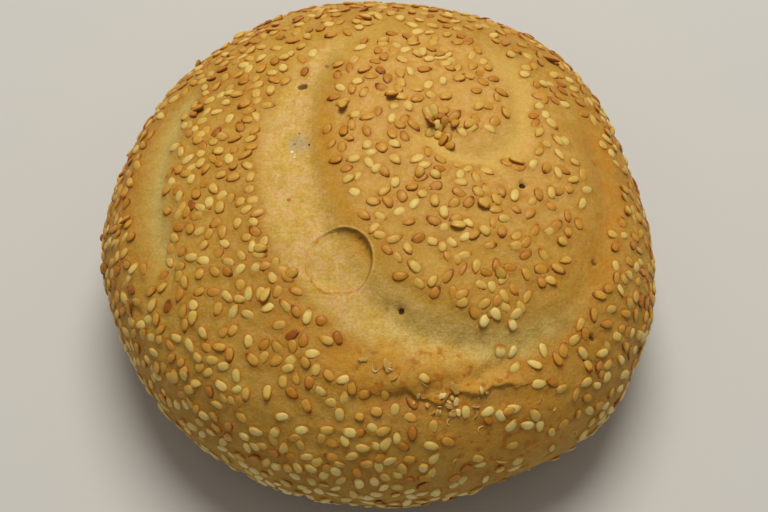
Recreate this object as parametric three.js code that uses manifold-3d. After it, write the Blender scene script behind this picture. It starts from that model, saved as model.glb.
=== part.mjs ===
// A round sesame bread roll with a pressed crescent pattern in its domed crust.
// Millimetres, +Z up. The roll stands on z = 0 with its middle over the origin, and -Y is its front.
// The crust is a full dome with a flat base. The press left a crescent valley, a round hub mark,
// a curved groove and a broken ring groove, and the dough between them rose into a raised petal.
// Sesame seeds are stuck all over the crust, but not in the valleys or underneath.

import * as THREE from 'three';
import { mergeVertices } from 'three/addons/utils/BufferGeometryUtils.js';
import Module from 'manifold-3d';

const wasm = await Module();
wasm.setup();

// Driving sizes of the loaf
const CRUST_RADIUS = 59;
const LOAF_HEIGHT = 55;
const WAIST_HEIGHT = 21; // where the roll is widest
const BASE_CUT = 9; // how far the rounded underside would reach below the table, had it not baked flat
const FULLNESS = 0.94; // below 1, the shoulders are fuller than an ellipse
const CRUST_DETAIL = 15; // each icosahedron edge is split into this many parts plus one

// The plan outline is a circle with a few shallow lobes: how many, how high, and where the first one is.
const OUTLINE_LOBES = [
  { count: 2, height: 0.4, degrees: 101 },
  { count: 3, height: 0.7, degrees: 74 },
  { count: 4, height: 0.6, degrees: 50 },
  { count: 5, height: 0.45, degrees: 44 },
];

// The crescent valley lies along the lip of the raised petal, on the right of the way these points run.
const LIP_POINTS = [
  [12, 42.5], [-1, 35.5], [-9.5, 25.5], [-12, 12], [-11, 0], [-7.5, -12],
  [-1.5, -22], [8.5, -30], [23, -32.5], [37, -26.5], [44, -17],
];
const LIP_FADES = { start: 0.45, end: 0.25 }; // shares of its way over which it rises and dies away
const VALLEY_WIDTH = 16;
const VALLEY_TAPER = 1.5; // how quickly it narrows towards both ends
const VALLEY_DEPTH = { left: 1.4, front: 1.8 };
const VALLEY_FLOOR = 0.35; // share of its width before it starts to rise again
const WALL_WIDTH = { left: 3.8, front: 7 }; // the slope below the lip
const VALLEY_CHANGES = { from: 0.4, to: 0.65 }; // shares of the lip's way, from the left stretch to the front one
const PETAL_RISE = 1.1;
const PETAL_EDGE = 2.8; // how quickly the petal rounds over into the valley
const PETAL_SPREAD = 15; // how far in from the lip its extra height dies away

// The curved groove across the petal, and the pit at its inner end
const GROOVE_POINTS = [[20, 38], [27, 28], [29.3, 16], [27, 6], [21, 1], [14, 1.5], [9, 6]];
const GROOVE_WIDTH = 2.8;
const GROOVE_DEPTH = 0.9;
const PIT = { x: 11.5, y: 6.5, radius: 2.6, depth: 1.6 };

// The ring groove at the rim of the press mark shows in three stretches.
const RING_RADIUS = 47;
const RING_STRETCHES = [
  { name: 'left', from: 142, to: 212, width: 3, depth: 1, bare: true },
  { name: 'right', from: -50, to: 38, width: 2.8, depth: 1, bare: true },
  { name: 'front', from: 258, to: 316, width: 1.8, depth: 0.9, bare: false },
];

// The hub of the press left a flat round mark that bites into the foot of the petal.
const HUB = { x: -8.15, y: -22.1, radius: 6.6, bare: 2, segments: 40, tall: 12 };
const HUB_SINK = 0.3;

// Sesame seeds
const SEED_LENGTH = 3.5;
const SEED_WIDTH = 2.25;
const SEED_THICKNESS = 1.6;
const SEED_SINK = 0.1; // how deep the seed's widest line lies in the crust
const SEED_SPOTS = 375; // evenly spread over a sphere; those on bare crust or underneath are left out
const SEED_LOWEST = 5; // no seed sits nearer to the table
const SEED_SIZE_SPREAD = 0.08;
const RANDOM_SEED = 20;

const CRUST_COLOUR = 0xc8934a;
const CRUST_ROUGHNESS = 0.72;

const radians = THREE.MathUtils.degToRad;
const { lerp, smoothstep } = THREE.MathUtils;

// Plan radius of the crust at an angle round the roll
function outlineRadius(angle) {
  return OUTLINE_LOBES.reduce(
    (sum, lobe) => sum + lobe.height * Math.cos(lobe.count * (angle - radians(lobe.degrees))),
    CRUST_RADIUS,
  );
}

// The smooth dome before the press and the oven shaped it. The direction is a unit vector from its middle.
function domePoint(direction) {
  const angle = Math.atan2(direction.y, direction.x);
  const level = Math.hypot(direction.x, direction.y);
  const radius = outlineRadius(angle) * level ** FULLNESS;
  const reach = direction.z > 0 ? LOAF_HEIGHT - WAIST_HEIGHT : WAIST_HEIGHT + BASE_CUT;
  const height = WAIST_HEIGHT + reach * Math.sign(direction.z) * Math.abs(direction.z) ** FULLNESS;
  return new THREE.Vector3(radius * Math.cos(angle), radius * Math.sin(angle), height);
}

// Outward normal of the dome, from two short steps across it
function domeNormal(direction) {
  const step = 0.01;
  const helper = Math.abs(direction.z) > 0.9 ? new THREE.Vector3(1, 0, 0) : new THREE.Vector3(0, 0, 1);
  const east = new THREE.Vector3().crossVectors(helper, direction).setLength(step);
  const north = new THREE.Vector3().crossVectors(direction, east).setLength(step);
  const along = (offset) => domePoint(direction.clone().add(offset).normalize());
  const eastward = along(east).sub(along(east.clone().negate()));
  const northward = along(north).sub(along(north.clone().negate()));
  return eastward.cross(northward).normalize();
}

// A curve in plan as sample points, each with its share of the way along
function plannedCurve(points, samples = 90) {
  const curve = new THREE.SplineCurve(points.map(([x, y]) => new THREE.Vector2(x, y)));
  return curve.getPoints(samples);
}

const lipLine = plannedCurve(LIP_POINTS);
const grooveLine = plannedCurve(GROOVE_POINTS);

// Distance from a plan point to a curve, positive on the left of its way, and the share of the way along
function offsetFrom(line, x, y) {
  let best = { distance: Infinity, side: 1, share: 0 };
  for (let i = 0; i < line.length - 1; i += 1) {
    const [a, b] = [line[i], line[i + 1]];
    const [dx, dy] = [b.x - a.x, b.y - a.y];
    const t = THREE.MathUtils.clamp(((x - a.x) * dx + (y - a.y) * dy) / (dx * dx + dy * dy), 0, 1);
    const distance = Math.hypot(x - a.x - t * dx, y - a.y - t * dy);
    if (distance < best.distance) {
      const side = dx * (y - a.y) - dy * (x - a.x) > 0 ? 1 : -1;
      best = { distance, side, share: (i + t) / (line.length - 1) };
    }
  }
  return { offset: best.distance * best.side, share: best.share };
}

// 1 in the middle of a stretch, easing to 0 at both of its ends
function taper(share, ease = 0.3) {
  return smoothstep(share, 0, ease) * smoothstep(1 - share, 0, ease);
}

const bell = (distance, width) => Math.exp(-((distance / width) ** 2));

// Width of the crescent valley along the lip
const valleyWidth = (share) => VALLEY_WIDTH * (4 * share * (1 - share)) ** VALLEY_TAPER + 0.01;

function crescentRelief(x, y) {
  const { offset, share } = offsetFrom(lipLine, x, y);
  const strength = smoothstep(share, 0, LIP_FADES.start) * smoothstep(1 - share, 0, LIP_FADES.end);
  if (offset > 0) {
    const petal = Math.exp(-offset / PETAL_SPREAD) * (1 - Math.exp(-offset / PETAL_EDGE));
    return PETAL_RISE * strength * petal;
  }
  const out = -offset;
  const frontness = smoothstep(share, VALLEY_CHANGES.from, VALLEY_CHANGES.to);
  const wall = smoothstep(out, 0, lerp(WALL_WIDTH.left, WALL_WIDTH.front, frontness));
  const rise = 1 - smoothstep(out, VALLEY_FLOOR * valleyWidth(share), valleyWidth(share) + WALL_WIDTH.left);
  return -lerp(VALLEY_DEPTH.left, VALLEY_DEPTH.front, frontness) * strength * wall * rise;
}

function grooveRelief(x, y) {
  const { offset, share } = offsetFrom(grooveLine, x, y);
  const pit = PIT.depth * bell(Math.hypot(x - PIT.x, y - PIT.y), PIT.radius);
  return -GROOVE_DEPTH * smoothstep(share, 0, 0.4) * bell(offset, GROOVE_WIDTH) - pit;
}

// How far a plan point lies into a ring stretch: 1 in its middle, 0 beyond its ends
function stretchShare(stretch, x, y) {
  const turned = THREE.MathUtils.radToDeg(Math.atan2(y, x));
  const past = THREE.MathUtils.euclideanModulo(turned - stretch.from, 360);
  return taper(past / (stretch.to - stretch.from), 0.3);
}

function ringRelief(x, y) {
  const away = Math.hypot(x, y) - RING_RADIUS;
  const cut = (sum, s) => sum - s.depth * stretchShare(s, x, y) * bell(away, s.width);
  return RING_STRETCHES.reduce(cut, 0);
}

// The slow, uneven swell of proved dough
function doughSwell({ x, y, z }) {
  return 0.45 * Math.sin(x / 13 + 0.6) * Math.cos(y / 15 - 1) + 0.25 * Math.sin((x + y) / 9 + z / 11);
}

function crustPoint(direction) {
  const point = domePoint(direction);
  const top = smoothstep(direction.z, 0.05, 0.3); // the press only marked the top
  const pressed = crescentRelief(point.x, point.y) + grooveRelief(point.x, point.y) + ringRelief(point.x, point.y);
  return point.addScaledVector(domeNormal(direction), top * pressed + doughSwell(point));
}

// True where the crust shows bare, with no seeds
function isBare({ x, y }) {
  const valley = offsetFrom(lipLine, x, y);
  const inValley = valley.offset < 0.8 && -valley.offset < valleyWidth(valley.share) - 1;
  const inGroove = Math.abs(offsetFrom(grooveLine, x, y).offset) < GROOVE_WIDTH;
  const onRing = Math.abs(Math.hypot(x, y) - RING_RADIUS);
  const inRing = RING_STRETCHES.some((s) => s.bare && onRing < 1.5 * s.width * stretchShare(s, x, y));
  const byHub = Math.hypot(x - HUB.x, y - HUB.y) < HUB.radius + HUB.bare;
  return inValley || inGroove || inRing || byHub;
}

// Solids for manifold-3d, and meshes back from it
function toSolid(geometry) {
  const bare = geometry.clone();
  bare.deleteAttribute('normal');
  bare.deleteAttribute('uv');
  const merged = mergeVertices(bare, 1e-3);
  const vertProperties = new Float32Array(merged.attributes.position.array);
  const triVerts = new Uint32Array(merged.index.array);
  return new wasm.Manifold(new wasm.Mesh({ numProp: 3, vertProperties, triVerts }));
}

function toGeometry(solid) {
  const { vertProperties, triVerts } = solid.getMesh();
  const geometry = new THREE.BufferGeometry();
  geometry.setAttribute('position', new THREE.BufferAttribute(vertProperties, 3));
  geometry.setIndex(new THREE.BufferAttribute(triVerts, 1));
  return geometry;
}

// Moves every vertex of a geometry to where a function of its position says
function reshape(geometry, where) {
  const { position } = geometry.attributes;
  const vertex = new THREE.Vector3();
  for (let i = 0; i < position.count; i += 1) {
    vertex.fromBufferAttribute(position, i);
    position.setXYZ(i, ...where(vertex).toArray());
  }
  return geometry;
}

// The dome with its relief, cut flat where it stands on the table
function crust() {
  const ball = new THREE.IcosahedronGeometry(1, CRUST_DETAIL);
  ball.rotateX(radians(11)); // so that no rows of faces line up with the table
  const shaped = reshape(ball, (vertex) => crustPoint(vertex.clone().normalize()));
  const table = new THREE.BoxGeometry(4 * CRUST_RADIUS, 4 * CRUST_RADIUS, CRUST_RADIUS);
  table.translate(0, 0, -CRUST_RADIUS / 2);
  return toSolid(shaped).subtract(toSolid(table));
}

// The round hub of the press, standing on the crust along its normal
function hubStamp(surface) {
  const spot = surface(new THREE.Vector3(HUB.x, HUB.y, 0));
  const stamp = new THREE.CylinderGeometry(HUB.radius, HUB.radius, HUB.tall, HUB.segments);
  stamp.translate(0, HUB.tall / 2 - HUB_SINK, 0);
  stamp.applyQuaternion(new THREE.Quaternion().setFromUnitVectors(new THREE.Vector3(0, 1, 0), spot.normal));
  stamp.translate(...spot.point.toArray());
  return toSolid(stamp);
}

// Casts onto the crust, straight down onto a plan point or inwards along a direction
function caster(solid) {
  const mesh = new THREE.Mesh(toGeometry(solid), new THREE.MeshBasicMaterial());
  const ray = new THREE.Raycaster();
  return (from, towards) => {
    ray.set(from, towards);
    const [hit] = ray.intersectObject(mesh);
    return { point: hit.point, normal: hit.face.normal.clone() };
  };
}

// A low teardrop seed lying on its flat side, long way along X
function seedGeometry() {
  const seed = new THREE.SphereGeometry(1, 7, 2);
  seed.rotateX(Math.PI / 2);
  return reshape(seed, ({ x, y, z }) => {
    const pointed = 1 - 0.22 * x;
    const height = (z * SEED_THICKNESS) / 2 - SEED_SINK;
    return new THREE.Vector3((x * SEED_LENGTH) / 2, (y * pointed * SEED_WIDTH) / 2, height);
  });
}

// Evenly spread unit directions, by the golden angle
function spreadDirections(count) {
  const golden = Math.PI * (3 - Math.sqrt(5));
  return Array.from({ length: count }, (_, i) => {
    const z = 1 - (2 * i + 1) / count;
    const level = Math.sqrt(1 - z * z);
    return new THREE.Vector3(level * Math.cos(golden * i), level * Math.sin(golden * i), z);
  });
}

// A small repeatable random number source, from 0 to 1
function randomSource(seed) {
  let state = seed;
  return () => {
    state = (state * 1664525 + 1013904223) % 4294967296;
    return state / 4294967296;
  };
}

function seeds(cast) {
  const random = randomSource(RANDOM_SEED);
  const shape = seedGeometry();
  const up = new THREE.Vector3(0, 0, 1);
  const solids = [];
  for (const direction of spreadDirections(SEED_SPOTS)) {
    const [turn, size] = [random() * 2 * Math.PI, 1 + SEED_SIZE_SPREAD * (2 * random() - 1)];
    const target = domePoint(direction);
    if (target.z < SEED_LOWEST || isBare(target)) continue;
    const outward = domeNormal(direction);
    const { point, normal } = cast(target.clone().addScaledVector(outward, HUB.tall), outward.clone().negate());
    const lie = new THREE.Quaternion().setFromUnitVectors(up, normal);
    const spin = new THREE.Quaternion().setFromAxisAngle(up, turn);
    const placed = new THREE.Matrix4().compose(point, lie.multiply(spin), new THREE.Vector3(size, size, size));
    solids.push(toSolid(shape.clone().applyMatrix4(placed)));
  }
  return wasm.Manifold.union(solids);
}

function breadRoll() {
  const dome = crust();
  const castOnDome = caster(dome);
  const down = new THREE.Vector3(0, 0, -1);
  const onto = (plan) => castOnDome(plan.clone().setZ(2 * LOAF_HEIGHT), down);
  const pressed = dome.subtract(hubStamp(onto));
  const geometry = toGeometry(pressed.add(seeds(caster(pressed))));
  geometry.computeBoundingBox();
  const middle = geometry.boundingBox.getCenter(new THREE.Vector3());
  geometry.translate(-middle.x, -middle.y, -geometry.boundingBox.min.z);
  geometry.computeVertexNormals();
  const material = new THREE.MeshStandardMaterial({
    color: CRUST_COLOUR,
    roughness: CRUST_ROUGHNESS,
    metalness: 0,
    flatShading: true,
  });
  const mesh = new THREE.Mesh(geometry, material);
  mesh.name = 'bread_roll';
  return mesh;
}

const part = new THREE.Group();
part.add(breadRoll());

export default part;
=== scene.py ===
# Looks of a round sesame bread roll: a browned crust with the marks of its press, and baked-on seeds.
# Lengths are millimetres until a mesh is made, in the frame's own axes, with -Y towards the camera.

import itertools
from math import asin, cos, pi, radians, sin

import bpy
import numpy as np
from mathutils import Matrix, Vector, kdtree


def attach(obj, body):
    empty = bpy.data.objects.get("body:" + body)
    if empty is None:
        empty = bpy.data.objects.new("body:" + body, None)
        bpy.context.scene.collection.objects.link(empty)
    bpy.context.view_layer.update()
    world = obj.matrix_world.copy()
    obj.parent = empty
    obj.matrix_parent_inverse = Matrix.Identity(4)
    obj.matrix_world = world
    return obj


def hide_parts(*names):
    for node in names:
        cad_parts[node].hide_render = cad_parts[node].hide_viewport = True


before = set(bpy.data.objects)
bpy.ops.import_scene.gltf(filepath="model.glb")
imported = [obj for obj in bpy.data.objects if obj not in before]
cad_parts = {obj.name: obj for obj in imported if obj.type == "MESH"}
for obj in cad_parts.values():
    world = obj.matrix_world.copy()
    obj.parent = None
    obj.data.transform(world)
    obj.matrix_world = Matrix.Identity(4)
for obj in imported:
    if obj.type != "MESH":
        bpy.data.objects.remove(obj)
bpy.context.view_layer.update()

MILLIMETRE = 0.001
NODE = "bread_roll"
BODY = "root"

# Driving sizes of the loaf, as in the CAD source
CRUST_RADIUS = 59.0
LOAF_HEIGHT = 55.0
WAIST_HEIGHT = 21.0
BASE_CUT = 9.0
FULLNESS = 0.94
OUTLINE_LOBES = [(2, 0.4, 101), (3, 0.7, 74), (4, 0.6, 50), (5, 0.45, 44)]  # count, height, degrees
BASE_ROUNDING = 2.4  # how softly the side turns into the flat base

# The crescent valley and the lip of the raised petal beside it
LIP_POINTS = [
    (12, 42.5), (-1, 35.5), (-9.5, 25.5), (-12, 12), (-11, 0), (-7.5, -12),
    (-1.5, -22), (8.5, -30), (23, -32.5), (37, -26.5), (44, -17),
]
LIP_FADES = (0.45, 0.25)  # shares of its way over which it rises and dies away
VALLEY_WIDTH = 16.0
VALLEY_TAPER = 1.5
VALLEY_DEPTH = (1.4, 1.8)  # on the left, and at the front
VALLEY_FLOOR = 0.35
WALL_WIDTH = (3.8, 7.0)
VALLEY_CHANGES = (0.4, 0.65)
PETAL_RISE = 1.1
PETAL_EDGE = 2.8
PETAL_SPREAD = 15.0

# The curved groove across the petal, and the pit at its inner end
GROOVE_POINTS = [(20, 38), (27, 28), (29.3, 16), (27, 6), (21, 1), (14, 1.5), (9, 6)]
GROOVE_WIDTH = 2.8
GROOVE_DEPTH = 0.9
GROOVE_BARE = (-3.3, 2.0)  # how far the bare strip reaches to its inner and its outer side
PIT_PLACE = (11.5, 6.5)
PIT_RADIUS = 2.6
PIT_DEPTH = 1.6

# The ring groove in three stretches, from and to in degrees. Seeds are missing over the width called bare,
# round a line that lies outside it by the size called bare_out, and the share called kept is left there.
RING_RADIUS = 47.0
RING_LEFT = {"from": 142, "to": 212, "width": 3.0, "depth": 1.0, "bare_out": 0.9, "bare": 3.6, "kept": 0.0}
RING_RIGHT = {"from": -50, "to": 38, "width": 2.8, "depth": 1.0, "bare_out": -2.0, "bare": 3.6, "kept": 0.05}
RING_FRONT = {"from": 258, "to": 316, "width": 1.8, "depth": 0.9, "bare_out": 0.0, "bare": 2.9, "kept": 0.7}
RING_STRETCHES = [RING_LEFT, RING_RIGHT, RING_FRONT]

# The flat round mark of the press's hub. Its edge is deepest on the side of the petal.
HUB_PLACE = (-8.15, -22.1)
HUB_RADIUS = 6.6
HUB_SINK = 0.16
HUB_FOLLOWS = 0.2  # share of the surrounding slope that the mark keeps
HUB_DEEP_SIDE = 44  # degrees
HUB_EDGES = (0.42, 1.5)  # how far its edge slopes, on the deep side and opposite
HUB_WALL = 0.45  # reach of its shaded edge in plan, on the deep side
HUB_BARE = 2.0  # no seeds lie this near to it

# The torn edge across the front
TEAR_POINTS = [
    (-3, -46.8), (2, -46.3), (6, -46.3), (11, -47.9),
    (14, -46.1), (20, -45), (24, -43.7), (30, -42),
]
TEAR_DEPTH = 0.6
TEAR_LENGTH = 5.0
TEAR_RAGGED = 0.5
TEAR_BITES = (2.6, 0.9)  # how long its coarse and its fine bites are
TEAR_CURL = 0.3

# Relief of dry crust close up: height, size, and the noise's seed
FINE_RELIEF = {
    "long waves": (0.26, 9, 1), "waves": (0.12, 4.2, 2), "wrinkles": (0.05, 1.9, 3),
    "bubbles": (0.05, 1.1, 4), "crags": (0.32, 1.6, 7),
}
PATCH_CRAGS = 0.35  # share of the crags where seeds have come off

# Small marks: places in plan, with radius, depth and how dark they are. A pinhole's dark colour is painted
# shade inside the hole.
PINHOLES = [
    ((4.0, -31.6), 0.62, 0.7, 1.0),
    ((1.2, -30.9), 0.45, 0.3, 0.35),
    ((-16.2, 20.2), 0.9, 0.5, 0.2),
    ((-11.2, 25.1), 0.45, 0.6, 0.5),
    ((28.3, -4.2), 0.7, 1.2, 1.0),
    ((42.9, -17.5), 0.45, 0.9, 0.7),
    ((41.7, -32.1), 0.5, 0.9, 0.85),
    ((40.4, -36.4), 0.55, 1.0, 0.7),
]
BLISTER = {"place": (-15.2, -25.1), "long": 2.6, "wide": 1.1, "degrees": 100, "height": 0.45}
CREASE_POINTS = [(24, -36), (30, -34), (37, -30)]  # a fine pale fold in the crust
GREY_PATCH = (-17.0, 5.3)  # where something has stuck to the valley
GREY_PATCH_RADIUS = 1.9
SPECKS = {  # by colour: places in plan, with radius
    "6E4C1E": [((-16.75, 19.95), 0.62), ((-16.2, 20.2), 0.7), ((-15.55, 20.5), 0.62), ((-17.8, 5.0), 0.22)],
    "A8661C": [((-9.4, 25.4), 0.5), ((-18.3, -8.6), 0.45)],
    "2E2018": [((-14.3, 4.5), 0.26), ((-16.3, 7.3), 0.18)],
    "E8DCD0": [((-17.6, 3.1), 0.28), ((-17.6, 2.1), 0.22), ((-17.1, 2.6), 0.15)],
}

# Meshes
GRID_CELLS = 232  # across the top
SIDE_ROWS = 38
UNDER_ROWS = 8
MESH_DRAW = 0.8  # how strongly the mesh gathers at fine marks
MESH_SNAP = 0.4  # about half a cell, within which it moves right onto a line
MESH_REACH = 2.2
SEED_RINGS = 9
SEED_SIDES = 14

# Seeds
SEED_LENGTH = 3.15
SEED_WIDTH = 1.9
SEED_THICKNESS = 0.98
SEED_SHOULDER = 0.8  # below 1, its section is fuller than an ellipse
SEED_ENDS = (0.65, 0.45)  # how it narrows to its point and to its round end
SEED_SPREAD = 0.07  # in length and width
SEED_GAPS = (1.55, 2.7)  # least distances between seeds
SEED_COUNT = 1880
SEED_LOWEST = 5.0
SEED_BED = 0.22  # how high the crust has baked up round a seed
SEED_KINDS = {  # from and to which share of all seeds, with the palest first
    "sesame_cream": (0.0, 0.42),
    "sesame_golden": (0.42, 0.8),
    "sesame_toasted": (0.8, 1.0),
}
UPPER_SEEDS = 60  # seeds that lie on others
PIT_SEEDS = 12
PIT_SEEDS_PLACE = (13.0, 8.3)
PIT_SEEDS_SPREAD = 2.1
PALE_SEEDS = [
    (20.1, -32.5), (22, -31.3), (25.6, -32.8), (23.2, -37.4), (25.4, -37.1),
    (16.4, -48.1), (20.5, -47.6), (23.1, -48.2), (25.9, -46.5), (25.4, -49.2), (28.6, -48.6), (31.2, -48.1),
]

# Two patches at the front where seeds have come off: places in plan, reaches, and the share lost
SPARSE_PATCHES = [((25, -48.5), (18, 7.0), 0.92), ((6, -41.5), (15, 5.0), 0.8)]
SOCKET_COUNT = 46
SOCKET_SIZE = 0.62  # against a seed
SOCKET_DEPTH = 0.25
SOCKET_GAPS = (2.2, 3.4)
PRINT_COUNT = 26  # thin arcs of skin left round lost seeds
PRINT_THICKNESS = 0.15
FLAKE_COUNT = 18
FLAKE_PLACE = (13.6, -46.8)  # where a third of them cling together
FLAKE_SIZES = (0.5, 0.9)
FLAP_SIZES = (1.0, 1.3)
LONE_FLAKES = [(1.7, -42.0), (1.2, -41.7), (2.0, -41.6), (-3.6, -40.4), (-3.2, -40.7)]

RANDOM_SEED = 20
random = np.random.default_rng(RANDOM_SEED)
scene = bpy.context.scene


def smoothstep(value, low, high):
    share = np.clip((value - low) / (high - low), 0, 1)
    return share * share * (3 - 2 * share)


def bell(distance, width):
    return np.exp(-((distance / width) ** 2))


def taper(share, ease=0.3):
    return smoothstep(share, 0, ease) * smoothstep(1 - share, 0, ease)


def between(sizes, share):
    return sizes[0] + (sizes[1] - sizes[0]) * share


def away_from(place, x, y):
    """Plan distance from a place."""
    return np.hypot(x - place[0], y - place[1])


def unit(vectors):
    return vectors / np.linalg.norm(vectors, axis=-1, keepdims=True)


def uneven(points, size, seed):
    """Smooth noise from -1 to 1 over an array of points, with features of about that size."""
    values = np.random.default_rng(seed).uniform(-1, 1, 4096)
    scaled = np.asarray(points) / size
    cell = np.floor(scaled).astype(np.int64)
    inside = scaled - cell
    ease = inside * inside * (3 - 2 * inside)
    total = np.zeros(len(scaled))
    for corner in itertools.product((0, 1), repeat=3):
        near = cell + corner
        mixed = near[:, 0] * 374761393 + near[:, 1] * 668265263 + near[:, 2] * 2147483647
        weight = np.prod(np.where(corner, ease, 1 - ease), axis=1)
        total += weight * values[(mixed ^ (mixed >> 13)) % len(values)]
    return total


# Plan curves

def planned_curve(points, samples=90):
    """A smooth curve through plan points, as the CAD source draws it."""
    places = np.array(points, dtype=float)
    last = len(places) - 1
    along = np.linspace(0, last, samples + 1)
    start = np.minimum(along.astype(int), last - 1)
    t = (along - start)[:, None]
    before = places[np.maximum(start - 1, 0)]
    first, second = places[start], places[start + 1]
    after = places[np.minimum(start + 2, last)]
    leave, arrive = (second - before) / 2, (after - first) / 2
    cubic = (2 * first - 2 * second + leave + arrive) * t**3
    square = (-3 * first + 3 * second - 2 * leave - arrive) * t**2
    return cubic + square + leave * t + first


def offset_from(line, x, y):
    """Distance from plan points to a curve, positive on the left of its way, and the share of the way."""
    step = line[1:] - line[:-1]
    offset, share = np.empty(len(x)), np.empty(len(x))
    for part in np.array_split(np.arange(len(x)), 1 + len(x) // 20000):
        dx = x[part, None] - line[:-1, 0]
        dy = y[part, None] - line[:-1, 1]
        t = np.clip((dx * step[:, 0] + dy * step[:, 1]) / (step**2).sum(axis=1), 0, 1)
        away = np.hypot(dx - t * step[:, 0], dy - t * step[:, 1])
        best = away.argmin(axis=1)
        row = np.arange(len(part))
        side = step[best, 0] * dy[row, best] - step[best, 1] * dx[row, best]
        offset[part] = np.where(side > 0, 1, -1) * away[row, best]
        share[part] = (best + t[row, best]) / len(step)
    return offset, share


def torn_curve(points, ragged):
    """A planned curve that wanders to both sides in coarse and fine bites."""
    line = planned_curve(points, 200)
    way = unit(np.gradient(line, axis=0))
    length = np.cumsum(np.linalg.norm(np.gradient(line, axis=0), axis=1))
    spots = np.stack([length, 0 * length, 0 * length], axis=1)
    coarse, fine = TEAR_BITES
    wander = ragged * (uneven(spots, coarse, 5) + 0.5 * uneven(spots, fine, 6))
    return line + wander[:, None] * np.stack([-way[:, 1], way[:, 0]], axis=1)


LIP_LINE = planned_curve(LIP_POINTS)
GROOVE_LINE = planned_curve(GROOVE_POINTS)
CREASE_LINE = planned_curve(CREASE_POINTS)
TEAR_LINE = torn_curve(TEAR_POINTS, TEAR_RAGGED)


# The dome

def outline_radius(angle):
    lobes = [height * np.cos(count * (angle - radians(turn))) for count, height, turn in OUTLINE_LOBES]
    return CRUST_RADIUS + sum(lobes)


def dome_points(directions):
    x, y, z = directions.T
    angle = np.arctan2(y, x)
    radius = outline_radius(angle) * np.hypot(x, y) ** FULLNESS
    reach = np.where(z > 0, LOAF_HEIGHT - WAIST_HEIGHT, WAIST_HEIGHT + BASE_CUT)
    height = WAIST_HEIGHT + reach * np.sign(z) * np.abs(z) ** FULLNESS
    return np.stack([radius * np.cos(angle), radius * np.sin(angle), height], axis=1)


def dome_normals(directions):
    step = 0.01
    upright = np.abs(directions[:, 2:]) > 0.9
    helper = np.where(upright, [1.0, 0.0, 0.0], [0.0, 0.0, 1.0])
    east = unit(np.cross(helper, directions)) * step
    north = unit(np.cross(directions, east)) * step
    eastward, northward = (
        dome_points(unit(directions + way)) - dome_points(unit(directions - way)) for way in (east, north)
    )
    return unit(np.cross(eastward, northward))


# The relief, each part a height in millimetres

def valley_width(share):
    return VALLEY_WIDTH * (4 * share * (1 - share)) ** VALLEY_TAPER + 0.01


def from_left_to_front(sizes, share):
    """A size of the valley that changes between its left stretch and its front one."""
    return between(sizes, smoothstep(share, *VALLEY_CHANGES))


def crescent_relief(x, y):
    offset, share = offset_from(LIP_LINE, x, y)
    strength = smoothstep(share, 0, LIP_FADES[0]) * smoothstep(1 - share, 0, LIP_FADES[1])
    inward, outward = np.maximum(offset, 0), np.maximum(-offset, 0)
    petal = np.exp(-inward / PETAL_SPREAD) * (1 - np.exp(-inward / PETAL_EDGE))
    wall = smoothstep(outward, 0, from_left_to_front(WALL_WIDTH, share))
    width = valley_width(share)
    rise = 1 - smoothstep(outward, VALLEY_FLOOR * width, width + WALL_WIDTH[0])
    depth = from_left_to_front(VALLEY_DEPTH, share) * strength * wall * rise
    return np.where(offset > 0, PETAL_RISE * strength * petal, -depth)


def groove_relief(x, y):
    offset, share = offset_from(GROOVE_LINE, x, y)
    pit = PIT_DEPTH * bell(away_from(PIT_PLACE, x, y), PIT_RADIUS)
    return -GROOVE_DEPTH * smoothstep(share, 0, 0.4) * bell(offset, GROOVE_WIDTH) - pit


def stretch_share(stretch, x, y):
    past = np.mod(np.degrees(np.arctan2(y, x)) - stretch["from"], 360)
    return taper(past / (stretch["to"] - stretch["from"]))


def ring_relief(x, y):
    away = np.hypot(x, y) - RING_RADIUS
    return -sum(s["depth"] * stretch_share(s, x, y) * bell(away, s["width"]) for s in RING_STRETCHES)


def tear_relief(x, y):
    """The crust is torn along a ragged line: its edge curls up, it drops in front and rises again."""
    offset, share = offset_from(TEAR_LINE, x, y)
    drop = smoothstep(-offset, -0.05, 0.15) * (1 - smoothstep(-offset, 0.8, TEAR_LENGTH))
    curl = TEAR_CURL * bell(offset - 0.5, 0.9) * (offset > 0)
    return taper(share, 0.2) * (curl - TEAR_DEPTH * drop)


def dough_swell(points):
    x, y, z = points.T
    return 0.45 * np.sin(x / 13 + 0.6) * np.cos(y / 15 - 1) + 0.25 * np.sin((x + y) / 9 + z / 11)


def pinhole_relief(x, y):
    return -sum(
        depth * smoothstep(1.5 - away_from(place, x, y) / radius, 0, 1)
        for place, radius, depth, _ in PINHOLES
    )


def blister_relief(x, y):
    turn = radians(BLISTER["degrees"])
    dx, dy = x - BLISTER["place"][0], y - BLISTER["place"][1]
    along = dx * cos(turn) + dy * sin(turn)
    across = dy * cos(turn) - dx * sin(turn)
    return BLISTER["height"] * bell(np.hypot(along / BLISTER["long"], across / BLISTER["wide"]), 0.75)


def torn_share(x, y):
    """1 on the rough crust just behind the tear, 0 away from it."""
    offset, share = offset_from(TEAR_LINE, x, y)
    return taper(share, 0.15) * smoothstep(offset, -1.5, 0.3) * (1 - smoothstep(offset, 2, 7))


def fine_relief(points, in_valley, rough):
    """What dry crust has close up, with bubbles only in the valley and crags only where it is rough."""
    where = {"bubbles": in_valley, "crags": rough}
    return sum(
        height * where.get(kind, 1) * uneven(points, size, seed)
        for kind, (height, size, seed) in FINE_RELIEF.items()
    )


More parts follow.
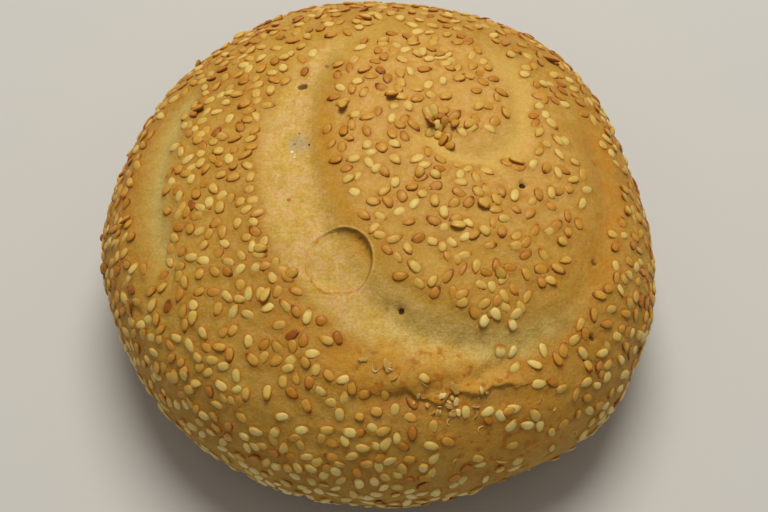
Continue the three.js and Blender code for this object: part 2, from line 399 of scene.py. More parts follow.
def stamp_hub(x, y, pressed):
    """The hub pressed the crust flatter and a little deeper inside its circle, most steeply on one side."""
    away = away_from(HUB_PLACE, x, y)
    turn = np.arctan2(y - HUB_PLACE[1], x - HUB_PLACE[0]) - radians(HUB_DEEP_SIDE)
    edge = between(HUB_EDGES, smoothstep(-np.cos(turn), -0.2, 0.6))
    inside = 1 - smoothstep((away - HUB_RADIUS) / edge, -1, 0)
    middle = pressed[away.argmin()]
    stamped = middle + HUB_FOLLOWS * (pressed - middle) - HUB_SINK
    return pressed + inside * (stamped - pressed)


def crust_points(directions):
    points = dome_points(directions)
    x, y = points[:, 0], points[:, 1]
    top = smoothstep(directions[:, 2], 0.05, 0.3)
    pressed = crescent_relief(x, y) + groove_relief(x, y) + ring_relief(x, y)
    in_valley = pressed < -0.5
    pressed = stamp_hub(x, y, pressed) + pinhole_relief(x, y) + blister_relief(x, y) + tear_relief(x, y)
    rough = top * np.maximum(torn_share(x, y), PATCH_CRAGS * sparse_share(x, y))
    lift = top * pressed + dough_swell(points) + fine_relief(points, in_valley, rough)
    shaped = points + lift[:, None] * dome_normals(directions)
    low = np.clip(shaped[:, 2] + BASE_ROUNDING, 0, 2 * BASE_ROUNDING)
    shaped[:, 2] = np.where(shaped[:, 2] > BASE_ROUNDING, shaped[:, 2], low**2 / (4 * BASE_ROUNDING))
    return shaped


# Meshes

def polar_directions(polar, angle):
    across = np.sin(polar)
    return np.stack([across * np.cos(angle), across * np.sin(angle), np.cos(polar) + 0 * angle], axis=-1)


def drawn_share(away, reach, snap):
    """By how much to shorten a distance from a mark, so that the mesh is finest at the mark."""
    near = np.clip((away - snap) / (reach - snap), 0, 1) ** (1 + MESH_DRAW) * reach / np.maximum(away, 1e-6)
    return np.where(away < reach, near, 1)


def drawn_to_ring(x, y, place, radius, reach, snap=0.0):
    dx, dy = x - place[0], y - place[1]
    away = np.maximum(np.hypot(dx, dy), 1e-6)
    past = away - radius
    drawn = (radius + past * drawn_share(np.abs(past), reach, snap)) / away
    return place[0] + drawn * dx, place[1] + drawn * dy


def drawn_to_line(x, y, line, reach, snap=0.0):
    offset, share = offset_from(line, x, y)
    steps = np.linspace(0, 1, len(line))
    foot_x, foot_y = np.interp(share, steps, line[:, 0]), np.interp(share, steps, line[:, 1])
    drawn = drawn_share(np.abs(offset), reach, snap)
    return foot_x + drawn * (x - foot_x), foot_y + drawn * (y - foot_y)


def drawn_to_marks(directions):
    """Directions of the top, moved so that the mesh gathers at the fine marks."""
    places = dome_points(directions)
    x, y = places[:, 0], places[:, 1]
    x, y = drawn_to_ring(x, y, HUB_PLACE, HUB_RADIUS, MESH_REACH, MESH_SNAP)
    x, y = drawn_to_line(x, y, TEAR_LINE, MESH_REACH, MESH_SNAP)
    x, y = drawn_to_line(x, y, CREASE_LINE, 1.5)
    for place, radius, _, _ in PINHOLES:
        x, y = drawn_to_ring(x, y, place, 0, 2 + radius)
    angle = np.arctan2(y, x)
    level = np.minimum(np.hypot(x, y) / outline_radius(angle), 1) ** (1 / FULLNESS)
    moved = np.stack([level * np.cos(angle), level * np.sin(angle), np.sqrt(1 - level**2)], axis=1)
    inner = (directions[:, 2] > 0.2)[:, None]
    return np.where(inner, moved, directions)


def crust_grid():
    """Directions and faces of the crust: an even grid over the top, then rows down the side and under."""
    side = np.linspace(-1, 1, GRID_CELLS + 1)
    a, b = np.meshgrid(side, side)
    wide = np.abs(a) > np.abs(b)
    longer = np.where(wide, a, b)
    ratio = np.divide(np.where(wide, b, a), longer, out=np.zeros_like(a), where=longer != 0)
    angle = np.where(wide, pi / 4 * ratio, pi / 2 - pi / 4 * ratio)
    polar = np.abs(longer) * pi / 2
    directions = polar_directions(polar, angle + np.where(longer < 0, pi, 0)).reshape(-1, 3)
    directions = drawn_to_marks(directions)
    index = np.arange(len(directions)).reshape(a.shape)
    corners = [index[:-1, :-1], index[:-1, 1:], index[1:, 1:], index[1:, :-1]]
    quads = [np.stack(corners, axis=-1).reshape(-1, 4)]
    edge = np.concatenate([index[0, :-1], index[:-1, -1], index[-1, :0:-1], index[:0:-1, 0]])
    around = np.arctan2(directions[edge, 1], directions[edge, 0])
    base_edge = asin((WAIST_HEIGHT / (WAIST_HEIGHT + BASE_CUT)) ** (1 / FULLNESS))
    down = np.linspace(0, base_edge * 1.15, SIDE_ROWS + 1)[1:]
    under = np.linspace(base_edge * 1.15, pi / 2 * 0.97, UNDER_ROWS + 1)[1:]
    row = edge
    for past in np.concatenate([down, under]):
        fresh = len(directions) + np.arange(len(edge))
        directions = np.concatenate([directions, polar_directions(pi / 2 + past, around)])
        quads.append(np.stack([row, fresh, np.roll(fresh, -1), np.roll(row, -1)], axis=-1))
        row = fresh
    return directions, np.concatenate(quads), row


def round_pairs(ring):
    """Each point number of a closed ring, with the next one."""
    return zip(ring, ring[1:] + ring[:1])


def ring_quads(index):
    """Faces between rings of points, whose numbers are the rows of a table."""
    ahead = np.roll(index, -1, axis=1)
    return np.stack([index[:-1], index[1:], ahead[1:], ahead[:-1]], axis=-1).reshape(-1, 4).tolist()


def new_object(name, data):
    made = bpy.data.objects.new(name, data)
    scene.collection.objects.link(made)
    return made


def new_mesh(name, points, faces):
    """A smooth mesh object in metres, from points in millimetres."""
    mesh = bpy.data.meshes.new(name)
    mesh.from_pydata((np.asarray(points) * MILLIMETRE).tolist(), [], faces)
    mesh.validate()
    mesh.shade_smooth()
    return new_object(name, mesh)


def paint(piece, name, values):
    """Keeps a value for each vertex, for the material to read."""
    kept = piece.data.attributes.new(name, "FLOAT", "POINT")
    kept.data.foreach_set("value", np.asarray(values, dtype=np.float32))


def vertex_normals(points, quads):
    """Outward normals of the quads' vertices, and the area that each stands for."""
    a, b, c, d = (points[quads[:, i]] for i in range(4))
    facing = np.cross(c - a, d - b) / 2
    total = np.zeros_like(points)
    area = np.zeros(len(points))
    for i in range(4):
        np.add.at(total, quads[:, i], facing)
        np.add.at(area, quads[:, i], np.linalg.norm(facing, axis=1) / 4)
    length = np.maximum(np.linalg.norm(total, axis=1, keepdims=True), 1e-9)
    return total / length, area


def crust_zones(points):
    """How far each point lies in each kind of crust, from 0 to 1."""
    x, y, z = points.T
    top = smoothstep(z, WAIST_HEIGHT, WAIST_HEIGHT + 8)
    offset, share = offset_from(LIP_LINE, x, y)
    outward = -offset
    width = valley_width(share)
    strength = taper(share, 0.2)
    over_edge = smoothstep(outward, width - 3.5, width + 0.8)
    lip_stretch = smoothstep(share, 0.2, 0.34) * smoothstep(-share, -0.66, -0.55)
    brow = smoothstep(share, 0.45, 0.7) * strength * bell(outward - width - 3.2, 4)
    ends = smoothstep(share, 0.6, 0.72) * smoothstep(-share, -1, -0.86)
    groove_away, groove_share = offset_from(GROOVE_LINE, x, y)
    groove = smoothstep(groove_share, 0, 0.25) * bell(groove_away, GROOVE_WIDTH)
    away = np.hypot(x, y) - RING_RADIUS
    left, right = stretch_share(RING_LEFT, x, y), stretch_share(RING_RIGHT, x, y)
    crease_away, crease_share = offset_from(CREASE_LINE, x, y)
    tear_away, tear_share = offset_from(TEAR_LINE, x, y)
    in_front = taper(tear_share, 0.15) * smoothstep(-tear_away, -0.1, 0.2)
    zones = {
        "valley": strength * smoothstep(outward, 0.3, 2) * (1 - over_edge),
        # Painted shade: an olive band on the slope of the valley's wall below the petal.
        "foot_shade": strength * bell(outward / from_left_to_front(WALL_WIDTH, share) - 0.4, 0.42),
        "front": ends * bell(outward - 0.5 * width, 4.5),
        "petal": smoothstep(offset, 0, 6) * smoothstep(y, -26, 2) * (1 - smoothstep(np.hypot(x, y), 34, 44)),
        "pale": np.max(
            [groove, 0.4 * left * bell(away, 2.8), taper(crease_share) * bell(crease_away, 0.3)], axis=0
        ),
        "orange": np.max([brow, 0.6 * left * bell(away - 5.5, 2.4), right * bell(away, 4.5)], axis=0),
        "lip": lip_stretch * bell(offset - 0.2, 2.3),
        "torn": torn_share(x, y),
        # Painted shade on the crust that drops away in front of the tear.
        "below_tear_shade": in_front * bell(tear_away, 4.5),
        # Painted shadow: a thin dark line just in front of the torn edge, under its curled lip.
        "tear_shadow": taper(tear_share, 0.1) * bell(tear_away + 0.12, 0.16),
        "sparse": sparse_share(x, y),
    }
    streak = smoothstep(top * left, 0.05, 0.6) * bell(away + 1.3, 2.0)
    under = 1 - smoothstep(z, 0.5, 9)
    return {"streak": streak, "under": under, **{name: top * zone for name, zone in zones.items()}}


# Seeds

def seed_shape():
    """A unit teardrop, long way along X with its point forwards, and its faces."""
    along = np.cos(np.linspace(0, pi, SEED_RINGS + 1))[1:-1]
    turn = np.linspace(0, 2 * pi, SEED_SIDES, endpoint=False)
    reach = (1 - along) ** SEED_ENDS[0] * (1 + along) ** SEED_ENDS[1]
    y = reach[:, None] * np.sign(np.cos(turn)) * np.abs(np.cos(turn)) ** SEED_SHOULDER
    z = reach[:, None] * np.sign(np.sin(turn)) * np.abs(np.sin(turn)) ** SEED_SHOULDER
    x = np.repeat(along[:, None], SEED_SIDES, axis=1)
    rings = np.stack([x, y, z], axis=-1).reshape(-1, 3)
    points = np.concatenate([rings, [[1.0, 0, 0], [-1.0, 0, 0]]])
    index = np.arange(len(rings)).reshape(len(along), SEED_SIDES)
    tip, tail = len(rings), len(rings) + 1
    caps = [[tip, a, b] for a, b in round_pairs(index[0].tolist())]
    caps += [[tail, b, a] for a, b in round_pairs(index[-1].tolist())]
    return points, ring_quads(index) + caps


def seed_share(points):
    """How thickly seeds lie: 0 on bare crust, 1 where they are closest."""
    x, y, z = points.T
    top = z > WAIST_HEIGHT + 4
    offset, share = offset_from(LIP_LINE, x, y)
    narrower = 4 * smoothstep(-share, -0.28, -0.2)
    bare_width = np.maximum(valley_width(share) - 0.5 - narrower, 3 * smoothstep(share, 0.02, 0.08))
    bare = top & (offset < 0.8) & (-offset < bare_width)
    groove_away, _ = offset_from(GROOVE_LINE, x, y)
    bare |= top & (groove_away > GROOVE_BARE[0]) & (groove_away < GROOVE_BARE[1])
    bare |= top & (away_from(HUB_PLACE, x, y) < HUB_RADIUS + HUB_BARE)
    radius = np.hypot(x, y)
    closeness = 0.66 + 0.3 * smoothstep(radius, 47, 55) * smoothstep(y, -40, -10)
    closeness += 0.4 * top * smoothstep(-x, 16, 26) * smoothstep(y, -25, -10)
    closeness *= 1 - sparse_share(x, y)
    for stretch in RING_STRETCHES:
        away = radius - RING_RADIUS - stretch["bare_out"]
        on_ring = stretch_share(stretch, x, y) * bell(away, stretch["bare"]) * top
        closeness *= 1 - (1 - stretch["kept"]) * smoothstep(on_ring, 0.1, 0.5)
    closeness *= smoothstep(z, SEED_LOWEST, SEED_LOWEST + 5)
    return np.where(bare, 0, closeness)


def sparse_share(x, y):
    """The share of seeds that have come off."""
    lost = [
        share * smoothstep(bell(np.hypot((x - place[0]) / wide, (y - place[1]) / deep), 1), 0.15, 0.6)
        for place, (wide, deep), share in SPARSE_PATCHES
    ]
    return np.max(lost, axis=0)


class Crust:
    """The crust while it is being shaped: its points, their normals, and the area each stands for."""

    def __init__(self):
        directions, self.quads, self.last_row = crust_grid()
        self.points = crust_points(directions)
        low, high = self.points.min(axis=0), self.points.max(axis=0)
        self.middle = (low + high) / 2 * [1, 1, 0]  # this goes over the frame's origin
        self.normals, self.area = vertex_normals(self.points, self.quads)
        self.halo_and_shade = np.zeros(len(self.points))
        self.socket = np.zeros(len(self.points))
        self.tree = kdtree.KDTree(len(self.points))
        for index, point in enumerate(self.points):
            self.tree.insert(point, index)
        self.tree.balance()

    def on_top(self, x, y):
        """The top's point at a plan place, as it lies once the roll is over the frame's origin."""
        return (self.points[self.nearest(x, y)] - self.middle).tolist()

    def nearest(self, x, y):
        """The index of the top's point that is nearest to a plan place."""
        plan = np.hypot(self.points[:, 0] - x, self.points[:, 1] - y)
        return np.where(self.points[:, 2] > WAIST_HEIGHT, plan, np.inf).argmin()

    def footprint(self, seed):
        """Points near a seed, each with its distance from it in seed sizes."""
        found = self.tree.find_range(seed["place"], 2 * seed["length"])
        near = np.array([index for _, index, _ in found])
        beside = self.points[near] - seed["place"]
        u = beside @ seed["along"] / seed["length"]
        v = beside @ seed["across"] / seed["width"]
        return near, np.hypot(u, v)

    def bed(self, seed):
        """The crust has baked up round a seed and browned there; the darkening round it is also painted
        contact shade.
        """
        near, away = self.footprint(seed)
        self.points[near] += (SEED_BED * bell(away - 1.0, 0.35))[:, None] * seed["out"]
        self.halo_and_shade[near] = np.maximum(self.halo_and_shade[near], bell(np.maximum(away - 1.0, 0), 0.4))

    def empty_socket(self, seed):
        """A seed has come off and left a small browned print."""
        near, away = self.footprint(seed)
        inside = bell(away / SOCKET_SIZE, 0.9)
        self.points[near] -= (SOCKET_DEPTH * inside)[:, None] * seed["out"]
        self.socket[near] = np.maximum(self.socket[near], inside)

    def finish(self):
        faces = self.quads.tolist() + [self.last_row[::-1].tolist()]
        piece = new_mesh("crust", self.points, faces)
        for name, values in {**crust_zones(self.points), "halo_and_shade": self.halo_and_shade, "socket": self.socket}.items():
            paint(piece, name, values)
        return piece


def scatter(crust, count, closeness, gaps):
    """Picks points of the crust at random, no two closer than a gap drawn from a range."""
    share = closeness(crust.points) * crust.area
    order = random.choice(len(share), size=12 * count, p=share / share.sum())
    taken = {}
    chosen = []
    for spot in order.tolist():
        place = crust.points[spot]
        gap = random.uniform(*gaps)
        cell = np.floor(place / gaps[1]).astype(int).tolist()
        around = itertools.product(*[(c - 1, c, c + 1) for c in cell])
        near = [other for key in around for other in taken.get(key, [])]
        if near and (np.linalg.norm(crust.points[near] - place, axis=1) < gap).any():
            continue
        taken.setdefault(tuple(cell), []).append(spot)
        chosen.append(spot)
        if len(chosen) == count:
            break
    return np.array(chosen)


def seed_tones(places):
    """How toasted each seed is, from 0, cream, to 1, dark brown. Those on the top toast most."""
    x, y, z = places.T
    # Seeds lighten low down and towards the front. The extra step at the front bottom, from 44 to 54 mm in
    # front of the middle, is painted light on seeds that lie in shade there.
    paler_and_lit = 0.03 * smoothstep(-y, 12, 42) + 0.06 * smoothstep(-y, 44, 54) + 0.25 * smoothstep(-z, -36, -16)
    tone = 0.37 - paler_and_lit + 0.12 * random.standard_normal(len(places))
    chance = random.random(len(places))
    toasted = 0.19 + 0.09 * smoothstep(x, -25, -10) - 0.6 * paler_and_lit
    tone = np.where(chance < toasted, random.uniform(0.45, 0.66, len(places)), tone)
    tone = np.where(chance < 0.015, random.uniform(0.7, 0.9, len(places)), tone)
    return np.clip(tone, 0.22 - 0.7 * paler_and_lit, 1)


def grow_seeds(places, normals, tones, lean=0.13, lift=(-0.15, 0.5)):
    """All that sets each seed: its place, axes, half sizes, and how high it sits."""
    count = len(places)
    out = unit(normals + lean * random.standard_normal((count, 3)))
    along = unit(np.cross(out, random.standard_normal((count, 3))))
    thickness = SEED_THICKNESS / 2 * random.normal(1, 0.09, count)
    return {
        "place": places,
        "out": out,
        "along": along,
        "across": np.cross(out, along),
        "length": SEED_LENGTH / 2 * random.normal(1, SEED_SPREAD, count),
        "width": SEED_WIDTH / 2 * random.normal(1, SEED_SPREAD, count),
        "thickness": thickness,
        "lift": thickness * random.uniform(*lift, count),
        "tone": tones,
    }


def each(seeds):
    """The seeds one by one."""
    for index in range(len(seeds["tone"])):
        yield {name: values[index] for name, values in seeds.items()}


def together(*groups):
    return {name: np.concatenate([group[name] for group in groups]) for name in groups[0]}


def baked_seeds(crust):
    spots = scatter(crust, SEED_COUNT, seed_share, SEED_GAPS)
    places = crust.points[spots]
    return grow_seeds(places, crust.normals[spots], seed_tones(places))


def upper_seeds(seeds):
    """Seeds that lie half on others, tilted."""
    under = random.choice(len(seeds["tone"]), UPPER_SEEDS, replace=False)
    shift = random.uniform(0.8, 1.5, (UPPER_SEEDS, 1)) * seeds["across"][under]
    places = seeds["place"][under] + shift + 0.4 * seeds["out"][under]
    return grow_seeds(places, seeds["out"][under], seed_tones(places), lean=0.25)


def pit_seeds(crust):
    """The seeds that rolled into the pit, lying every way."""
    around = PIT_SEEDS_PLACE + PIT_SEEDS_SPREAD * random.standard_normal((PIT_SEEDS, 2))
    spots = np.array([crust.nearest(x, y) for x, y in around])
    tones = random.uniform(0.2, 0.75, PIT_SEEDS)
    return grow_seeds(crust.points[spots], crust.normals[spots], tones, lean=0.45, lift=(0.1, 1.0))


def pale_seeds(crust):
    """A few at the front that stand out."""
    spots = np.array([crust.nearest(x, y) for x, y in PALE_SEEDS])
    tones = random.uniform(0.02, 0.2, len(spots))
    return grow_seeds(crust.points[spots], crust.normals[spots], tones, lift=(0.1, 0.6))


def lost_seeds(crust, count, elsewhere=0.03):
    """Places of seeds that have come off."""
    def closeness(points):
        x, y, z = points.T
        return (elsewhere + sparse_share(x, y)) * (z > SEED_LOWEST) * (seed_share(points) > 0)

    spots = scatter(crust, count, closeness, SOCKET_GAPS)
    return grow_seeds(crust.points[spots], crust.normals[spots], np.zeros(len(spots)), lean=0.02)


def repeated(faces, size, count):
    """The faces of one shape, over again for each of its copies in one mesh."""
    return [[copy * size + corner for corner in face] for copy in range(count) for face in faces]


def make_seeds(name, seeds):
    shape, faces = seed_shape()
    count = len(seeds["tone"])
    wave = random.uniform(0, 2 * pi, (count, 2, 1))
    dent = 1 + 0.05 * np.sin(3 * shape[:, 0] + wave[:, 0]) * np.cos(2 * shape[:, 1] + wave[:, 1])
    local = shape[None] * dent[..., None]
    along, across, out = (
        local[..., i, None] * seeds[size][:, None, None] * seeds[axis][:, None]
        for i, (axis, size) in enumerate((("along", "length"), ("across", "width"), ("out", "thickness")))
    )
    raised = seeds["place"] + seeds["lift"][:, None] * seeds["out"]
    points = raised[:, None] + along + across + out
    piece = new_mesh(name, points.reshape(-1, 3), repeated(faces, len(shape), count))
    paint(piece, "tone", np.repeat(seeds["tone"], len(shape)))
    paint(piece, "chance", np.repeat(random.random(count), len(shape)))
    paint(piece, "crown", np.tile(shape[:, 2], count))
    paint(piece, "tip", np.tile(shape[:, 0], count))
    return piece


# Torn crust

def flake_shape(sides=16, rings=4):
    """A unit disc with a middle point: its rings' places, and its faces."""
    turn = np.linspace(0, 2 * pi, sides, endpoint=False)
    out = np.linspace(0, 1, rings + 1)[1:]
    index = 1 + np.arange(rings * sides).reshape(rings, sides)
    faces = [[0, a, b] for a, b in round_pairs(index[0].tolist())] + ring_quads(index)
    return turn, out, faces


def make_flakes(crust):
    """Thin ragged flakes of crust that curl up along the tear, small pale ones and a few brown flaps."""
    turn, out, faces = flake_shape()
    count = 1 + len(out) * len(turn)
    last = 1 + (len(out) - 1) * len(turn)
    edge = [last + i for i in range(len(turn))]
    closed = faces + [[count + i for i in reversed(face)] for face in faces]
    closed += [[a + count, b + count, b, a] for a, b in round_pairs(edge)]
    spots = [crust.nearest(*place) for place in flake_places()]
    points, tones = [], []
    for number, spot in enumerate(spots):
        flap = number % 7 == 5
        up = unit(crust.normals[spot] + [0, -0.3, 0] + (0.2 if flap else 0.5) * random.standard_normal(3))
        side = unit(np.cross(up, random.standard_normal(3)))
        size = random.uniform(*(FLAP_SIZES if flap else FLAKE_SIZES))
        ragged = 1 + 0.25 * np.sin(2 * turn + random.uniform(0, 6))
        ragged = ragged + 0.1 * np.sin(5 * turn + random.uniform(0, 6))
        u = size * np.outer(out, ragged * np.cos(turn)).ravel()
        v = 0.7 * size * np.outer(out, ragged * np.sin(turn)).ravel()
        curl = random.uniform(-0.25, 0.1) * u**2 / size + 0.08 * np.sin(4 * v / size)
        local = np.concatenate([[[0, 0, 0]], np.stack([u, v, curl], axis=1)])
        axes = np.stack([side, np.cross(up, side), up])
        thick = np.outer(0.05 + 0.08 * np.concatenate([[1], 1 - np.repeat(out, len(turn)) ** 2]), [0, 0, 1])
        middle = crust.points[spot] + 0.3 * up
        points += [middle + (local + thick) @ axes, middle + (local - thick) @ axes]
        tones.append(np.full(2 * count, 0.6 if flap else random.uniform(0.15, 0.6)))
    piece = new_mesh("torn_flakes", np.concatenate(points), repeated(closed, 2 * count, len(spots)))
    paint(piece, "tone", np.concatenate(tones))
    return piece


def flake_places():
    """A third of the flakes cling together, and the others lie along the tear."""
    for number in range(FLAKE_COUNT):
        if number % 3:
            share = random.uniform(0.1, 0.75)
            yield TEAR_LINE[int(share * (len(TEAR_LINE) - 1))] + random.normal(0, 0.8, 2)
        else:
            yield FLAKE_PLACE + random.normal(0, 0.8, 2)
    yield from LONE_FLAKES


def make_prints(crust):
    """Where a seed has come off, the thin skin that had baked up beside it stands as a pale arc."""
    steps, sides = 14, 6
    share = np.linspace(0, 1, steps)
    turn = np.linspace(0, 2 * pi, sides, endpoint=False)
    thick = 0.03 + PRINT_THICKNESS * np.sin(pi * share) ** 0.7
    index = np.arange(steps * sides).reshape(steps, sides)
    faces = ring_quads(index) + [index[0].tolist(), index[-1, ::-1].tolist()]
    lost = lost_seeds(crust, PRINT_COUNT, elsewhere=0)
    points = []
    for seed in each(lost):
        start, length = random.uniform(0, 2 * pi), random.uniform(1.0, 2.6)
        angle = start + length * share
        along, across = seed["length"] * np.cos(angle), seed["width"] * np.sin(angle)
        beside = np.outer(along, seed["along"]) + np.outer(across, seed["across"])
        middle = seed["place"] + beside + 0.04 * seed["out"]
        outward = unit(beside)
        ring = thick[:, None, None] * (
            np.cos(turn)[None, :, None] * outward[:, None] + 1.5 * np.sin(turn)[None, :, None] * seed["out"]
        )
        points.append((middle[:, None] + ring).reshape(-1, 3))
    piece = new_mesh("seed_prints", np.concatenate(points), repeated(faces, steps * sides, len(points)))
    paint(piece, "tone", np.repeat(random.uniform(0.25, 0.65, len(points)), steps * sides))
    return piece


# Materials

def linear(code):
    """A colour written as six hex digits, in the renderer's linear values."""
    shares = [int(code[i : i + 2], 16) / 255 for i in (0, 2, 4)]
    return [s / 12.92 if s <= 0.04045 else ((s + 0.055) / 1.055) ** 2.4 for s in shares] + [1.0]


class Nodes:
    """A material's nodes. Each call adds a node and returns its output."""

    def __init__(self, name):
        self.material = bpy.data.materials.new(name)
        self.material.use_nodes = True
        self.tree = self.material.node_tree
        place = self.tree.nodes.new("ShaderNodeTexCoord").outputs["Object"]
        self.place = self.vector("MULTIPLY", place, (1 / MILLIMETRE,) * 3)  # as placed over the origin

    def feed(self, socket, value):
        """Gives a socket another node's output, a number, or a colour written as six hex digits."""
        if isinstance(value, bpy.types.NodeSocket):
            self.tree.links.new(value, socket)
        else:
            socket.default_value = linear(value) if isinstance(value, str) else value

    def add(self, kind, feeds, **settings):
        made = self.tree.nodes.new("ShaderNode" + kind)
        for name, setting in settings.items():
            setattr(made, name, setting)
        for name, value in feeds.items():
            if value is not None:
                self.feed(made.inputs[name], value)
        return made.outputs

    def vector(self, operation, first, second=None):
        made = self.add("VectorMath", {0: first, 1: second}, operation=operation)
        return made["Value" if operation == "LENGTH" else "Vector"]

    def math(self, operation, first, second=0.0):
        return self.add("Math", {0: first, 1: second}, operation=operation)[0]

    def value(self, name):
        """A value that was painted on the mesh."""
        return self.add("Attribute", {}, attribute_name=name)["Fac"]

    def noise(self, size, detail=3.0, roughness=0.55):
        feeds = {"Vector": self.place, "Scale": 1 / size, "Detail": detail, "Roughness": roughness}
        return self.add("TexNoise", feeds)["Fac"]

    def spot(self, place, radius, softness=0.25):
        """1 round a point, fading to 0 at about the radius, over twice the softness times the radius."""
        away = self.vector("LENGTH", self.vector("SUBTRACT", self.place, place))
        return self.range(away, (1 - softness) * radius, (1 + softness) * radius, 1, 0)

    def plan_distance(self, x, y):
        """Distance from an upright line."""
        beside = self.vector("SUBTRACT", self.place, (x, y, 0))
        return self.vector("LENGTH", self.vector("MULTIPLY", beside, (1, 1, 0)))

    def range(self, value, low, high, new_low=0.0, new_high=1.0):
        feeds = {"Value": value, "From Min": low, "From Max": high, "To Min": new_low, "To Max": new_high}
        return self.add("MapRange", feeds)["Result"]

    def mix(self, factor, first, second, blend="MIX"):
        feeds = {0: factor, 6: first, 7: second}
        return self.add("Mix", feeds, data_type="RGBA", blend_type=blend)[2]

    def bump(self, height, distance, strength, normal=None):
        feeds = {"Strength": strength, "Distance": distance * MILLIMETRE, "Height": height, "Normal": normal}
        return self.add("Bump", feeds)["Normal"]

    def layered(self, colour, layers):
        """A colour with others over it. Each layer has its zone, its share of cover there and its colour.

        A zone is a painted value's name or a node's output. A share is a number, or a zone and the shares
        at its 0 and its 1.
        """
        def known(zone):
            return self.value(zone) if isinstance(zone, str) else zone

        for zone, share, over in layers:
            if isinstance(share, tuple):
                share = self.range(known(share[0]), 0, 1, *share[1:])
            colour = self.mix(self.math("MULTIPLY", known(zone), share), colour, over)
        return colour

    def surface(self, feeds):
        """Feeds the shader, and returns the material."""
        for name, value in feeds.items():
            self.feed(self.tree.nodes["Principled BSDF"].inputs[name], value)
        return self.material

    def ramp(self, value, stops):
        made = self.tree.nodes.new("ShaderNodeValToRGB")
        points = made.color_ramp.elements
        while len(points) < len(stops):
            points.new(0.5)
        for point, (position, code) in zip(points, stops):
            point.position = position
            point.color = linear(code)
        self.feed(made.inputs["Fac"], value)
        return made.outputs["Color"]


GOLDEN = "BA9335"
DEEP_GOLDEN = "AB812A"
PETAL_GOLDEN = "C79943"
PEACH = "D3A668"
VALLEY_PINK = "CDA05E"
VALLEY_YELLOW = "C49C3A"
VALLEY_CREAM = "D3B671"
VALLEY_OLIVE = "BA9632"
FRONT_CREAM = "D8BE6A"
LIP_BROWN = "B98320"
# Painted shade on the valley's wall.
WALL_SHADE_OLIVE = "B49144"
PALE_DOUGH = "CDA953"
STREAK_PALE = "C8B062"
ORANGE_BROWN = "BE7F22"
# Browned crust and painted contact shade round each seed.
HALO_BROWN_AND_SHADE = "AA6A1A"
SOCKET_BROWN = "AE6A18"
TORN_ORANGE = "BE842A"
# Painted shade in front of the tear.
BELOW_TEAR_SHADE = "A67C38"
PATCH_GOLDEN = "CB9432"
# Painted shadow under the torn edge.
TEAR_SHADOW_DARK = "5A3A16"
HUB_SHADE = "846222"
HUB_RIM = "DDBB74"
STAIN_GREY = "9A9078"
# Painted shade inside the pinholes.
HOLE_SHADE_DARK = "3A200E"
UNDER_BROWN = "A06C2A"
GRAIN_DARK = (0.9, 0.84, 0.66, 1.0)  # tints by which the grain multiplies the crust's colour
GRAIN_LIGHT = (1.07, 1.12, 1.32, 1.0)
FLAKE_COLOURS = [(0.0, "E2CF96"), (0.45, "CBA04C"), (1.0, "A06C26")]
SEED_COLOURS = [
    (0.0, "E9D594"), (0.2, "D6BA68"), (0.36, "CAA44C"), (0.5, "C08C30"),
    (0.66, "B27420"), (0.82, "9A5816"), (1.0, "763E0A"),
]


def hub_zones(crust, nodes):
    """The hub mark's fine line on its shallow side, and on its deep side a pale rim and the painted shade
    inside its wall.
    """
    x, y = (HUB_PLACE - crust.middle[:2]).tolist()
    turn = radians(HUB_DEEP_SIDE)
    away = nodes.plan_distance(x, y)
    wander = nodes.range(nodes.noise(3.4, 2), 0.3, 0.7, -0.6, 0.6)
    from_foot = nodes.plan_distance(x - HUB_WALL * cos(turn), y - HUB_WALL * sin(turn))
    topside = nodes.math("SUBTRACT", 1.0, nodes.value("under"))

    def band(across, middle, reach, low, high):
        past = nodes.math("ABSOLUTE", nodes.math("SUBTRACT", across, middle))
        near = nodes.range(past, 0.3 * reach, reach, 1, 0)
        turned = nodes.math("MULTIPLY", topside, nodes.range(from_foot, low, high))
        return nodes.math("MULTIPLY", near, turned)

    line = band(nodes.math("ADD", away, wander), HUB_RADIUS, 0.5, HUB_RADIUS, HUB_RADIUS - 0.3)
    rim = band(away, HUB_RADIUS + 0.25, 0.3, HUB_RADIUS + 0.3, HUB_RADIUS + 0.5)
    # Painted shade: a dark crescent just inside the edge on the deep side, where the wall is in shade.
    inside = nodes.math("MULTIPLY", topside, nodes.range(away, HUB_RADIUS - 0.05, HUB_RADIUS + 0.05, 1, 0))
    shade = nodes.math("MULTIPLY", inside, nodes.range(from_foot, HUB_RADIUS - 0.25, HUB_RADIUS + 0.15))
    return line, shade, rim


